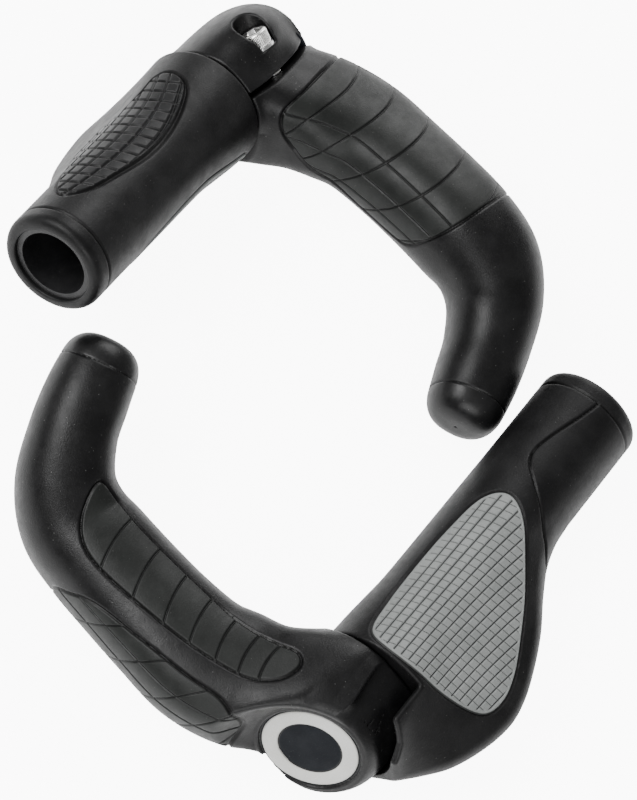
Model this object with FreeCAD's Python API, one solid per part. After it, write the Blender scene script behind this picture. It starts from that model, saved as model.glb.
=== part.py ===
import FreeCAD, Part
import math
import os
from FreeCAD import Matrix, Placement, Rotation, Vector

# A pair of ergonomic handlebar grips with integrated bar ends.  The left grip is the long
# version and the right grip the short one, which leaves room for a twist shifter.
#
# Each grip is modelled in its own frame, in millimetres: x runs along the handlebar from the
# grip's outboard end towards the middle of the bike, y forwards, z up, and the origin is on
# the bar axis at the outboard disc.  The right grip is the mirror image.  Both are then laid
# on the floor z = 0, the left one the right way up and the right one upside down.

# Grip tube and the hard sleeve inside it
BORE_RADIUS = 11.15
SLEEVE_RADIUS = 13.0
SLEEVE_START = 11.0
SLEEVE_SLOT_WIDTH = 1.6
SLEEVE_SLOTS = 4
END_RECESS = 1.4
LENGTH = {"left": 151.0, "right": 121.5}

# Rubber body with its palm wing
SEAM_X = 29.4
RING_CLEARANCE_RADIUS = 19.8
OVERHANG_DEG = (126.0, 222.0)
WING_START = 8.0
PAD_DEPTH = 2.0
GRIP_STATIONS = (WING_START, 12, 17, 22, 28, 34, 40, 48, 56, 66, 76, 86, 95, 103, 112)
LAST_STATION_GAP = 6.0
# Rounding of the inner end: distance back from the end, and how far the edge has drawn in
END_ROUNDING = ((3.6, 0.0), (1.6, 0.5), (0.5, 1.3), (0.0, 2.4))
TUBE_RADIUS_STOPS = ((29.0, 21.0), (38.0, 20.2), (58.0, 17.6), (110.0, 17.2))
TUBE_SHIFT_STOPS = ((34.0, -1.2), (58.0, 0.0))
WING_REAR_STOPS = (
    (8.0, -23.0), (15.0, -29.0), (22.0, -34.0), (30.0, -37.8), (39.0, -40.3), (48.0, -41.2),
    (59.0, -39.5), (74.0, -33.0), (89.0, -23.6), (98.0, -19.2), (108.0, -17.4),
)
WING_EDGE_STOPS = ((60.0, 5.5), (108.0, 16.7))
WING_HEIGHT_STOPS = ((60.0, -3.0), (108.0, 0.0))

# Clamp of the bar end
CLAMP_RADIUS = 19.3
CLAMP_FACE_X = 29.0
CAVITY_START = 10.5
SHIM_INNER_RADIUS = 13.05
SHIM_OUTER_RADIUS = 13.65
SHIM_SPAN = (12.0, 27.0)
SLIT_DEG = -55.0
SLIT_WIDTH = 1.8
SLIT_REACH_Y = 22.0
COLLAR_ROOM_RADIUS = 27.3
JAW_CENTRE = Vector(11.0, -1.5, -10.0)
JAW_SEMI_AXES = Vector(19.0, 12.5, 15.0)

# Clamp screw, M5, square to the slit; distances along it are from the slit's middle
SCREW_X = 12.5
SCREW_OFFSET = 17.4
SCREW_RADIUS = 2.5
HEAD_RADIUS = 4.25
HEAD_HEIGHT = 5.0
HEX_ACROSS_FLATS = 4.0
HEX_DEPTH = 2.8
SEAT = -8.6
COUNTERBORE_RADIUS = 5.0
COUNTERBORE_REACH = 40.0
HEAD_ROUNDING = 0.5
WASHER_THICKNESS = 1.0
WASHER_RADIUS = 4.6
SCREW_END = 12.0
CLEARANCE_RADIUS = 2.75
INSERT_RADIUS = 3.75
INSERT_SPAN = (4.0, 12.5)
THREAD_FIT = 0.05
GAP = 0.05

# Outboard disc
DISC_CENTRE = Vector(0.0, 2.6, -3.4)
DISC_NORMAL = Vector(-1.0, -0.24, 0.35).normalize()
CAP_RADIUS = 15.8
CAP_THICKNESS = 2.6
RING_OUTER = 14.7
RING_INNER = 10.2
RING_THICKNESS = 1.0
WELL_RADIUS = 16.2
WELL_REACH = 20.0
RIM_HEIGHT = 1.6
# Rounded rim outside the well: a land, then an arc through two (out, down) points, then a taper
RIM_LAND = 0.6
RIM_ARC = ((2.6, 1.1), (4.2, 3.8))
NOSE_LENGTH = 60.0
NOSE_TAPER = 0.5

# Bar end arm: centre (x, y, z), half width, height above and below, squareness
ARM_STATIONS = (
    ((14.0, 0.0, 0.0), 15.0, 18.6, 18.6, 5.0),
    ((13.0, 8.0, -0.3), 15.8, 18.3, 18.5, 4.4),
    ((10.8, 16.0, -0.8), 16.8, 17.3, 18.3, 3.6),
    ((6.5, 24.0, -1.6), 18.6, 15.9, 17.9, 3.0),
    ((3.2, 33.0, -2.4), 20.5, 14.6, 17.2, 2.6),
    ((1.2, 45.0, -3.4), 20.3, 14.4, 16.9, 2.4),
    ((3.0, 60.0, -4.6), 19.2, 15.4, 17.4, 2.3),
    ((6.0, 76.0, -5.8), 18.5, 16.4, 18.0, 2.3),
    ((8.8, 90.0, -6.0), 18.1, 17.0, 18.2, 2.3),
    ((11.6, 102.0, -4.2), 17.4, 16.4, 17.4, 2.2),
    ((17.8, 111.8, 1.2), 15.6, 15.6, 16.0, 2.2),
    ((28.5, 118.6, 7.6), 14.0, 15.2, 15.6, 2.2),
    ((39.5, 122.6, 12.0), 13.5, 14.6, 15.0, 2.2),
    ((49.5, 125.4, 15.0), 12.4, 12.4, 12.6, 2.2),
    ((53.5, 126.3, 15.9), 10.8, 10.6, 10.8, 2.2),
    ((56.0, 126.9, 16.5), 7.4, 7.2, 7.4, 2.2),
    ((57.0, 127.1, 16.7), 3.4, 3.4, 3.4, 2.1),
)
TIP_JOINT = 12
INLAY_DEPTH = 1.6
TIP_SHARE = 0.85

# Outlines of the pads and inlays, as (x, y) points in the grip's frame
PALM_PAD = (
    (99.5, 3.0), (95.7, -6.2), (82.0, -18.5), (70.0, -26.5), (58.0, -33.0), (48.0, -35.2),
    (40.0, -32.5), (34.5, -22.0), (31.5, -9.0), (31.0, 3.0), (34.0, 9.8), (45.0, 11.4),
    (60.0, 11.8), (77.0, 11.3), (93.0, 9.2),
)
UNDERSIDE_PAD = (
    (41.0, 5.0), (45.0, 12.0), (60.0, 14.6), (76.0, 15.0), (90.0, 13.5), (102.0, 11.0),
    (108.0, 6.0), (104.0, 1.0), (92.0, -5.0), (79.0, -12.0), (67.0, -14.0), (60.0, -7.0),
    (51.0, -1.5), (44.0, 0.0),
)
TONGUE = (
    (160.0, -6.0), (149.7, -2.9), (137.4, 0.0), (125.0, 3.8), (117.5, 5.2), (112.5, 3.7),
    (108.0, -1.0), (103.5, -7.0), (97.5, -15.0), (94.5, -24.0), (127.0, -30.0), (160.0, -30.0),
)
TONGUE_FLOOR = 3.0
END_BAND = 6.5
TOP_INLAY = (
    (18.3, 102.0), (8.7, 99.8), (2.0, 94.5), (-1.2, 86.0), (-2.7, 71.0), (-3.3, 55.0),
    (-2.6, 40.0), (-0.8, 29.0), (4.0, 21.8), (10.5, 19.4), (13.9, 22.4), (13.2, 29.0),
    (12.6, 40.0), (14.0, 54.0), (15.6, 68.0), (17.6, 84.0), (20.5, 98.0),
)
BOTTOM_INLAY_ROOT = 22.5
BOTTOM_INLAY_TOP = (Vector(20.0, 60.0, 1.6), Vector(0.2, 0.0, 1.0))
BOTTOM_INLAY_END = (Vector(22.4, 87.3, -19.0), Vector(0.3, 1.0, 0.0))

SECTION_POINTS = 48
DENSE_POINTS = 360
BIG = 200.0


def smooth_ring(points):
    """Closed smooth wire through evenly spaced points."""
    curve = Part.BSplineCurve()
    curve.interpolate(Points=points, PeriodicFlag=True,
                      Parameters=[float(i) for i in range(len(points) + 1)])
    return Part.Wire(curve.toShape())


def loft(rings):
    """Solid skinned over rings of points, with flat ends."""
    return Part.makeLoft([smooth_ring(ring) for ring in rings], True, False)


def resample(outline, count):
    """The given number of evenly spaced points round a closed outline."""
    closed = outline + outline[:1]
    steps = [(b - a).Length for a, b in zip(closed, closed[1:])]
    total = sum(steps)
    result = []
    index = 0
    passed = 0.0
    for i in range(count):
        target = total * i / count
        while passed + steps[index] < target:
            passed += steps[index]
            index += 1
        share = (target - passed) / steps[index]
        result.append(closed[index] + (closed[index + 1] - closed[index]) * share)
    return result


def between(value, stops):
    """Value read off a line through (position, value) stops."""
    if value <= stops[0][0]:
        return stops[0][1]
    for (x0, v0), (x1, v1) in zip(stops, stops[1:]):
        if value <= x1:
            return v0 + (v1 - v0) * (value - x0) / (x1 - x0)
    return stops[-1][1]


def radial(degrees):
    """Unit vector in the plane square to the bar, measured from forwards to up."""
    angle = math.radians(degrees)
    return Vector(0, math.cos(angle), math.sin(angle))


def along_bar(radius, start, end):
    return Part.makeCylinder(radius, end - start, Vector(start, 0, 0), Vector(1, 0, 0))


def half_space(point, normal):
    """Large block on the side of a plane that its normal points to."""
    block = Part.makeBox(BIG, BIG, BIG, Vector(-BIG / 2, -BIG / 2, 0))
    block.Placement = Placement(point, Rotation(Vector(0, 0, 1), normal))
    return block


def prism(outline, low, high):
    """Upright block between two heights over a closed curve through (x, y) points."""
    points = [Vector(x, y, low) for x, y in outline]
    curve = Part.BSplineCurve()
    curve.interpolate(Points=points, PeriodicFlag=True)
    face = Part.Face(Part.Wire(curve.toShape()))
    return face.extrude(Vector(0, 0, high - low))


# ---- rubber body -------------------------------------------------------------------------

def grip_ring(x, inset):
    """Points round the rubber body at x: a tube and a wing, joined by tangents."""
    tube = between(x, TUBE_RADIUS_STOPS) - inset
    wing = between(x, WING_EDGE_STOPS) - inset
    tube_centre = Vector(x, between(x, TUBE_SHIFT_STOPS), 0)
    rear = between(x, WING_REAR_STOPS) + inset
    wing_centre = Vector(x, rear + wing, between(x, WING_HEIGHT_STOPS))
    dense = []
    for i in range(DENSE_POINTS):
        direction = radial(360.0 * i / DENSE_POINTS)
        on_tube = tube_centre + direction * tube
        on_wing = wing_centre + direction * wing
        dense.append(on_tube if on_tube.dot(direction) >= on_wing.dot(direction) else on_wing)
    return resample(dense, SECTION_POINTS)


def grip_blank(length, inset):
    """The rubber body without its bore, or the same shape further in."""
    end = length - inset
    stations = [x for x in GRIP_STATIONS if x < end - LAST_STATION_GAP]
    rings = [grip_ring(x, inset) for x in stations]
    for back, rounding in END_ROUNDING:
        rings.append(grip_ring(end - back, inset + rounding))
    return loft(rings)


def skin(blank, inner, region):
    """The layer between two nested solids, inside a region."""
    return blank.common(region).cut(inner)


def palm_pad(length):
    region = prism(PALM_PAD, 0, BIG)
    return skin(grip_blank(length, 0.0), grip_blank(length, PAD_DEPTH), region)


def underside_pad(length):
    region = prism(UNDERSIDE_PAD, -BIG, 0)
    return skin(grip_blank(length, 0.0), grip_blank(length, PAD_DEPTH), region)


def end_panel(length):
    """Firmer band round the inner end, with a tongue that runs out over the tube's top."""
    blank = grip_blank(length, 0.0)
    start = length - END_BAND
    band = blank.common(Part.makeBox(BIG, BIG, BIG, Vector(start, -BIG / 2, -BIG / 2)))
    band = band.cut(along_bar(SLEEVE_RADIUS, 0, length + 1))
    outline = [Vector(x, y, TONGUE_FLOOR) for x, y in TONGUE]
    face = Part.Face(Part.makePolygon(outline + outline[:1]))
    region = face.extrude(Vector(0, 0, BIG)).common(
        Part.makeBox(start, BIG, BIG, Vector(0, -BIG / 2, 0)))
    return band.fuse(skin(blank, grip_blank(length, PAD_DEPTH), region))


def overhang_sector():
    """The sector behind the clamp where the wing reaches further outboard than the seam."""
    start, end = OVERHANG_DEG
    corners = [Vector(0, 0, 0)]
    for i in range(7):
        corners.append(radial(start + (end - start) * i / 6) * BIG / 2)
    face = Part.Face(Part.makePolygon(corners + corners[:1]))
    return face.extrude(Vector(SEAM_X, 0, 0))


def grip_rubber(length, pads):
    body = grip_blank(length, 0.0)
    room = Part.makeBox(SEAM_X, BIG, BIG, Vector(0, -BIG / 2, -BIG / 2))
    body = body.cut(room.cut(overhang_sector()))
    body = body.cut(along_bar(RING_CLEARANCE_RADIUS, 0, SEAM_X))
    body = body.cut(along_bar(SLEEVE_RADIUS, 0, length + 1))
    for pad in pads:
        body = body.cut(pad)
    return body


def grip_sleeve(length):
    end = length - END_RECESS
    sleeve = along_bar(SLEEVE_RADIUS, SLEEVE_START, end)
    sleeve = sleeve.cut(along_bar(BORE_RADIUS, 0, length))
    for i in range(SLEEVE_SLOTS):
        slot = Part.makeBox(CLAMP_FACE_X - SLEEVE_START - 2, BIG, SLEEVE_SLOT_WIDTH)
        slot.translate(Vector(SLEEVE_START - 1, 0, -SLEEVE_SLOT_WIDTH / 2))
        slot.rotate(Vector(0, 0, 0), Vector(1, 0, 0), 45 + 360 * i / SLEEVE_SLOTS)
        sleeve = sleeve.cut(slot)
    return sleeve


# ---- bar end -----------------------------------------------------------------------------

def arm_ring(index, inset):
    """Points round one arm station, a rounded section square to the arm's path."""
    centres = [Vector(*station[0]) for station in ARM_STATIONS]
    before = centres[max(index - 1, 0)]
    after = centres[min(index + 1, len(centres) - 1)]
    tangent = (after - before).normalize()
    side = tangent.cross(Vector(0, 0, 1)).normalize()
    up = side.cross(tangent)
    _, width, above, below, squareness = ARM_STATIONS[index]
    power = 2.0 / squareness
    dense = []
    for i in range(DENSE_POINTS):
        angle = 2 * math.pi * i / DENSE_POINTS
        across = math.copysign(abs(math.cos(angle)) ** power, math.cos(angle))
        rise = math.copysign(abs(math.sin(angle)) ** power, math.sin(angle))
        height = above if rise > 0 else below
        dense.append(centres[index] + side * across * (width - inset)
                     + up * rise * (height - inset))
    return resample(dense, SECTION_POINTS)


def arm_blank(inset):
    last = len(ARM_STATIONS) if inset == 0 else len(ARM_STATIONS) - 2
    return loft([arm_ring(i, inset) for i in range(last)])


def disc_cylinder(radius, outer, inner):
    """Cylinder on the disc's axis between two distances outboard of the disc's plane."""
    return Part.makeCylinder(radius, outer - inner, DISC_CENTRE + DISC_NORMAL * inner,
                             DISC_NORMAL)


def nose():
    """Rounded end of the clamp round the disc, as a solid of revolution."""
    top = Vector(0, 0, RIM_HEIGHT)
    land = Vector(WELL_RADIUS + RIM_LAND, 0, RIM_HEIGHT)
    middle, end = [land + Vector(out, 0, -down) for out, down in RIM_ARC]
    shoulder = end + Vector(NOSE_LENGTH * NOSE_TAPER, 0, -NOSE_LENGTH)
    base = Vector(0, 0, shoulder.z)
    edges = [Part.makeLine(top, land), Part.Arc(land, middle, end).toShape(),
             Part.makeLine(end, shoulder), Part.makeLine(shoulder, base),
             Part.makeLine(base, top)]
    solid = Part.Face(Part.Wire(edges)).revolve(Vector(0, 0, 0), Vector(0, 0, 1), 360)
    solid.Placement = Placement(DISC_CENTRE, Rotation(Vector(0, 0, 1), DISC_NORMAL))
    return solid


def clamp_blank():
    """Ring round the bar, closed outboard, with the jaw's swelling for the screw head."""
    ring = along_bar(CLAMP_RADIUS, -20, CLAMP_FACE_X)
    jaw = Part.makeSphere(1.0)
    scale = Matrix()
    scale.scale(JAW_SEMI_AXES)
    scale.move(JAW_CENTRE)
    jaw = jaw.transformGeometry(scale)
    return ring.fuse(jaw).common(nose())


def screw_cylinder(radius, start, end):
    """Cylinder on the screw's axis; start and end are measured from the slit."""
    base = radial(SLIT_DEG) * SCREW_OFFSET + Vector(SCREW_X, 0, 0)
    direction = radial(SLIT_DEG + 90)
    return Part.makeCylinder(radius, end - start, base + direction * start, direction)


def slit():
    """The clamp's slot, through the ring on one side of the bar."""
    corner = Vector(-BIG / 2, BORE_RADIUS, -SLIT_WIDTH / 2)
    block = Part.makeBox(BIG, BIG, SLIT_WIDTH, corner)
    block.rotate(Vector(0, 0, 0), Vector(1, 0, 0), SLIT_DEG)
    return block


def tip_plane():
    centre = Vector(*ARM_STATIONS[TIP_JOINT][0])
    ahead = Vector(*ARM_STATIONS[TIP_JOINT + 1][0])
    return centre + (ahead - centre) * TIP_SHARE, (ahead - centre).normalize()


def tip_cap():
    return arm_blank(0.0).common(half_space(*tip_plane()))


def top_inlay():
    return skin(arm_blank(0.0), arm_blank(INLAY_DEPTH), prism(TOP_INLAY, 0, BIG))


def bottom_inlay():
    region = half_space(Vector(0, BOTTOM_INLAY_ROOT, 0), Vector(0, 1, 0))
    for point, normal in (BOTTOM_INLAY_TOP, BOTTOM_INLAY_END):
        region = region.common(half_space(point, normal * -1))
    return skin(arm_blank(0.0), arm_blank(INLAY_DEPTH), region)


def clamp_room():
    """Space that the slit may cut: the clamp, not the arm ahead of it."""
    return Part.makeBox(2 * BIG, 2 * SLIT_REACH_Y, 2 * BIG, Vector(-BIG, -SLIT_REACH_Y, -BIG))


def bar_end_body(inlays):
    body = clamp_blank().fuse(arm_blank(0.0))
    body = body.cut(along_bar(COLLAR_ROOM_RADIUS, CLAMP_FACE_X, BIG))
    body = body.cut(along_bar(SHIM_OUTER_RADIUS, CAVITY_START, CLAMP_FACE_X + 1))
    body = body.cut(disc_cylinder(WELL_RADIUS, WELL_REACH, 0.0))
    body = body.cut(disc_cylinder(CAP_RADIUS, WELL_REACH, -CAP_THICKNESS))
    body = body.cut(slit().common(clamp_room()))
    body = body.cut(screw_cylinder(CLEARANCE_RADIUS, SEAT - 1, SCREW_END + 2))
    body = body.cut(screw_cylinder(COUNTERBORE_RADIUS, -COUNTERBORE_REACH, SEAT))
    body = body.cut(screw_cylinder(INSERT_RADIUS, *INSERT_SPAN))
    body = body.cut(half_space(*tip_plane()))
    for inlay in inlays:
        body = body.cut(inlay)
    return body


def clamp_shim():
    """Thin split liner between the clamp and the sleeve's collar."""
    liner = along_bar(SHIM_OUTER_RADIUS, *SHIM_SPAN).cut(along_bar(SHIM_INNER_RADIUS, *SHIM_SPAN))
    return liner.cut(slit())


def threaded_insert():
    return screw_cylinder(INSERT_RADIUS, *INSERT_SPAN).cut(
        screw_cylinder(SCREW_RADIUS + THREAD_FIT, 0, SCREW_END + 2))


def clamp_screw():
    """Socket-head cap screw."""
    head_start = SEAT - GAP - WASHER_THICKNESS - HEAD_HEIGHT
    head = screw_cylinder(HEAD_RADIUS, head_start, head_start + HEAD_HEIGHT)
    rim = max(head.Edges, key=lambda edge: -edge.BoundBox.Center.dot(radial(SLIT_DEG + 90)))
    head = head.makeFillet(HEAD_ROUNDING, [rim])
    shank = screw_cylinder(SCREW_RADIUS, head_start + HEAD_HEIGHT - 1, SCREW_END)
    corners = [Vector(HEX_ACROSS_FLATS / math.sqrt(3), 0, 0)]
    hexagon = Part.makePolygon([
        Rotation(Vector(0, 0, 1), 60.0 * i).multVec(corners[0]) for i in range(7)])
    socket = Part.Face(hexagon).extrude(Vector(0, 0, HEX_DEPTH + 1))
    base = radial(SLIT_DEG) * SCREW_OFFSET + Vector(SCREW_X, 0, 0)
    direction = radial(SLIT_DEG + 90)
    socket.Placement = Placement(base + direction * (head_start - 1),
                                 Rotation(Vector(0, 0, 1), direction))
    return head.fuse(shank).cut(socket)


def screw_washer():
    start = SEAT - GAP - WASHER_THICKNESS
    return screw_cylinder(WASHER_RADIUS, start, start + WASHER_THICKNESS).cut(
        screw_cylinder(SCREW_RADIUS + THREAD_FIT, start - 1, SEAT))


def end_cap():
    """Dark disc that closes the well, with a seat for the pale ring."""
    cap = disc_cylinder(CAP_RADIUS, 0.0, -CAP_THICKNESS)
    return cap.cut(end_cap_ring())


def end_cap_ring():
    return disc_cylinder(RING_OUTER, RING_THICKNESS / 2, -RING_THICKNESS / 2).cut(
        disc_cylinder(RING_INNER, RING_THICKNESS, -RING_THICKNESS))


# ---- the pair ----------------------------------------------------------------------------

# How each grip lies on the floor: place of its frame's origin, then yaw, pitch and roll
FLOOR_POSE = {
    "left": Placement(Vector(-87.92, -71.84, 28.372), Rotation(-0.03, 4.3, -0.93)),
    "right": Placement(Vector(86.25, 86.23, 20.842), Rotation(1.96, 17.3, -176.85)),
}
# Angle of the right grip's palm wing about the bar, against the left one's
WING_TURN = {"left": 0.0, "right": -57.6}


def grip_pieces(length, wing_turn):
    """Every piece of one grip, in the grip's own frame."""
    pads = {
        "palm_pad": palm_pad(length),
        "underside_pad": underside_pad(length),
        "end_panel": end_panel(length),
    }
    grip = {
        "grip_sleeve": grip_sleeve(length),
        "grip_rubber": grip_rubber(length, list(pads.values())),
    }
    grip.update(pads)
    for shape in grip.values():
        shape.rotate(Vector(0, 0, 0), Vector(1, 0, 0), wing_turn)
    inlays = {"top_inlay": top_inlay(), "bottom_inlay": bottom_inlay()}
    grip.update(inlays)
    grip["bar_end_body"] = bar_end_body(list(inlays.values()))
    grip["tip_cap"] = tip_cap()
    grip["clamp_shim"] = clamp_shim()
    grip["threaded_insert"] = threaded_insert()
    grip["clamp_screw"] = clamp_screw()
    grip["screw_washer"] = screw_washer()
    grip["end_cap"] = end_cap()
    grip["end_cap_ring"] = end_cap_ring()
    return grip


def main():
    os.makedirs("parts", exist_ok=True)
    for side in ("left", "right"):
        for name, shape in grip_pieces(LENGTH[side], WING_TURN[side]).items():
            solid = max(shape.Solids, key=lambda piece: piece.Volume)
            if side == "right":
                solid = solid.mirror(Vector(0, 0, 0), Vector(1, 0, 0))
            solid = solid.transformed(FLOOR_POSE[side].toMatrix())
            solid.exportStep("parts/%s_%s.step" % (side, name))


main()
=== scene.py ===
import math
import bpy
import numpy as np
from mathutils import Matrix, Vector


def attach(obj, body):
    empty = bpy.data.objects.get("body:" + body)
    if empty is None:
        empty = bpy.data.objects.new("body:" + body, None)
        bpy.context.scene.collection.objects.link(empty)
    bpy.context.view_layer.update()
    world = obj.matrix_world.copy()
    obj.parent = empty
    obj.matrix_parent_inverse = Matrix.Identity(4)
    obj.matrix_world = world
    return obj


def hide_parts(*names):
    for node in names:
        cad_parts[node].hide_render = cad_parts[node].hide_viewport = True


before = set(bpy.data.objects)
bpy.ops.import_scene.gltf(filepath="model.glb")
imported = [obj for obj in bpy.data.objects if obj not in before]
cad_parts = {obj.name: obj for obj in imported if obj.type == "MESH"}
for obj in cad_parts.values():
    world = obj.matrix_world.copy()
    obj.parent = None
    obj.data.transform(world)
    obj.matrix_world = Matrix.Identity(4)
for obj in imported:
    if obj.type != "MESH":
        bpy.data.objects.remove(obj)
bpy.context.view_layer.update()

# Lengths are in millimetres in each grip's own frame: x along the bar from the outboard disc,
# y forwards, z up.  Pieces go into the row frame, in metres, at the end.

PLACE = {
    "left": ((-87.92, -71.84, 28.372), (-0.03, 4.3, -0.93)),
    "right": ((86.25, 86.23, 20.842), (1.96, 17.3, -176.85)),
}
LENGTH = {"left": 151.0, "right": 121.5}
WING_TURN = {"left": 0.0, "right": -57.6}

# ---- numbers shared with the CAD ---------------------------------------------------------

SLEEVE_RADIUS = 13.0
SEAM_X = 29.4
RING_CLEARANCE_RADIUS = 19.8
OVERHANG_DEG = (126.0, 222.0)
GRIP_STATIONS = (8, 12, 17, 22, 28, 34, 40, 48, 56, 66, 76, 86, 95, 103, 112)
TUBE_RADIUS_STOPS = ((29.0, 21.0), (38.0, 20.2), (58.0, 17.6), (110.0, 17.2))
TUBE_SHIFT_STOPS = ((34.0, -1.2), (58.0, 0.0))
WING_REAR_STOPS = (
    (8.0, -23.0), (15.0, -29.0), (22.0, -34.0), (30.0, -37.8), (39.0, -40.3), (48.0, -41.2),
    (59.0, -39.5), (74.0, -33.0), (89.0, -23.6), (98.0, -19.2), (108.0, -17.4),
)
WING_EDGE_STOPS = ((60.0, 5.5), (108.0, 16.7))
WING_HEIGHT_STOPS = ((60.0, -3.0), (108.0, 0.0))
OVERHANG_EDGE = ((126.0, 15.5), (148.0, 13.0), (163.0, 8.6), (222.0, 8.4))
END_BAND = 6.5

CLAMP_RADIUS = 19.3
CLAMP_FACE_X = 29.0
COLLAR_ROOM_RADIUS = 27.3
CAVITY_RADIUS = 13.65
CAVITY_START = 10.5
SLIT_DEG = -55.0
SLIT_WIDTH = 1.8
SLIT_START = 11.0
SLIT_REACH_Y = 22.0
JAW_CENTRE = (11.0, -1.5, -10.0)
JAW_SEMI_AXES = (19.0, 12.5, 15.0)
SCREW_X = 12.5
SCREW_OFFSET = 17.4
SEAT = -8.6
HEAD_START = -14.65
HEAD_HEIGHT = 5.0
HEAD_RADIUS = 4.25
SCREW_RADIUS = 2.5
SCREW_END = 12.0
COUNTERBORE_RADIUS = 5.0
CLEARANCE_RADIUS = 2.75
DISC_CENTRE = np.array([0.0, 2.6, -3.4])
DISC_NORMAL = np.array([-1.0, -0.24, 0.35]) / math.sqrt(1.0 + 0.24 ** 2 + 0.35 ** 2)
WELL_RADIUS = 16.2
RIM_HEIGHT = 1.6
DISH_START = 1.5
DISH_SLOPE = 0.9
SLIT_FLARE = 1.2
SHOULDER_BLEND = (4.0, 13.0)
ARM_STATIONS = (
    ((14.0, 0.0, 0.0), 15.0, 18.6, 18.6, 5.0),
    ((13.0, 8.0, -0.3), 15.8, 18.3, 18.5, 4.4),
    ((10.8, 16.0, -0.8), 16.8, 17.3, 18.3, 3.6),
    ((6.5, 24.0, -1.6), 18.6, 15.9, 17.9, 3.0),
    ((3.2, 33.0, -2.4), 20.5, 14.6, 17.2, 2.6),
    ((1.2, 45.0, -3.4), 20.3, 14.4, 16.9, 2.4),
    ((3.0, 60.0, -4.6), 19.2, 15.4, 17.4, 2.3),
    ((6.0, 76.0, -5.8), 18.5, 16.4, 18.0, 2.3),
    ((8.8, 90.0, -6.0), 18.1, 17.0, 18.2, 2.3),
    ((11.6, 102.0, -4.2), 17.4, 16.4, 17.4, 2.2),
    ((17.8, 111.8, 1.2), 15.6, 15.6, 16.0, 2.2),
    ((28.5, 118.6, 7.6), 14.0, 15.2, 15.6, 2.2),
    ((39.5, 122.6, 12.0), 13.5, 14.6, 15.0, 2.2),
    ((49.5, 125.4, 15.0), 12.6, 13.0, 13.2, 2.2),
    ((57.0, 127.1, 16.7), 12.0, 12.0, 12.2, 2.2),
)
TIP_ROUNDING = 9.5
TIP_JOINT = 12
TIP_SHARE = 0.85

# ---- outlines of pads and inlays, and the grooves across them ------------------------------

PALM_PAD = (
    (99.5, 3.0), (95.7, -6.2), (82.0, -18.5), (70.0, -26.5), (58.0, -33.0), (48.0, -35.2),
    (40.0, -32.5), (34.5, -22.0), (31.5, -9.0), (31.0, 3.0), (34.0, 9.8), (45.0, 11.4),
    (60.0, 11.8), (77.0, 11.3), (93.0, 9.2),
)
UNDERSIDE_PAD = (
    (41.0, 5.0), (45.0, 12.0), (60.0, 14.6), (76.0, 15.0), (90.0, 13.5), (102.0, 11.0),
    (108.0, 6.0), (104.0, 1.0), (92.0, -5.0), (79.0, -12.0), (67.0, -14.0), (60.0, -7.0),
    (51.0, -1.5), (44.0, 0.0),
)
TONGUE = (
    (160.0, -6.0), (149.7, -2.9), (137.4, 0.0), (125.0, 3.8), (117.5, 5.2), (112.5, 3.7),
    (108.0, -1.0), (103.5, -7.0), (97.5, -15.0), (94.5, -24.0), (127.0, -30.0), (160.0, -30.0),
)
TOP_INLAY = (
    (18.3, 102.0), (8.7, 99.8), (2.0, 94.5), (-1.2, 86.0), (-2.7, 71.0), (-3.3, 55.0),
    (-2.6, 40.0), (-0.8, 29.0), (4.0, 21.8), (10.5, 19.4), (13.9, 22.4), (13.2, 29.0),
    (12.6, 40.0), (14.0, 54.0), (15.6, 68.0), (17.6, 84.0), (20.5, 98.0),
)
TOP_RIBS = (
    ((20.1, 87.2), (-3.7, 83.9)), ((18.3, 74.8), (-4.7, 70.6)), ((17.1, 63.5), (-5.4, 58.4)),
    ((16.0, 52.8), (-5.2, 48.7)), ((14.8, 43.2), (-4.6, 39.3)), ((14.6, 34.6), (-3.6, 31.7)),
    ((15.3, 27.5), (-1.7, 25.8)),
)
RIB_BOW = 1.6
# Wrap-round inlay's outline: degrees from the arm's underside (positive to the inner side) and y
BOTTOM_INLAY = (
    (50, 22.0), (20, 22.6), (-32, 22.8), (-70, 22.4), (-99, 22.6), (-120, 25.5), (-131, 31.0),
    (-135, 38.0), (-135, 51.0), (-130, 66.0), (-123, 79.0), (-110, 87.0), (-82, 94.5),
    (-27, 93.0), (20, 90.0), (47, 87.3), (72, 84.0), (100, 79.5), (110, 74.0), (110, 60.0),
    (102, 46.6), (92, 34.7), (74, 27.0),
)
INLAY_LENGTHWISE = (48.0, 72.0, 94.0, -48.0, -72.0, -94.0, -114.0)
INLAY_CROSSWISE = (32.5, 46.0, 60.5, 76.0, 91.0)
CROSS_SWEEP = 13.5
MM_PER_DEGREE = 0.3

COARSE_STEP = 0.7
BIG = 1e3


def smooth_curve(x, stops, knots):
    """Smooth curve through the stops' line read at the knots."""
    xs, ys = np.array(stops).T
    knots = np.array(knots, float)
    values = np.interp(knots, xs, ys)
    slopes = np.gradient(values, knots)
    x = np.clip(x, knots[0], knots[-1])
    i = np.clip(np.searchsorted(knots, x) - 1, 0, len(knots) - 2)
    h = knots[i + 1] - knots[i]
    t = (x - knots[i]) / h
    return (values[i] * (1 + 2 * t) * (1 - t) ** 2 + slopes[i] * h * t * (1 - t) ** 2
            + values[i + 1] * t * t * (3 - 2 * t) + slopes[i + 1] * h * t * t * (t - 1))


def smooth_max(a, b, k):
    """Greater of two distances, rounded over about k."""
    h = np.maximum(k - np.abs(a - b), 0) / k
    return np.maximum(a, b) + h * h * k * 0.25


def smooth_min(a, b, k):
    return -smooth_max(-a, -b, k)


def radial(degrees):
    angle = math.radians(degrees)
    return np.array([0.0, math.cos(angle), math.sin(angle)])


# ---- rubber body -------------------------------------------------------------------------

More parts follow.
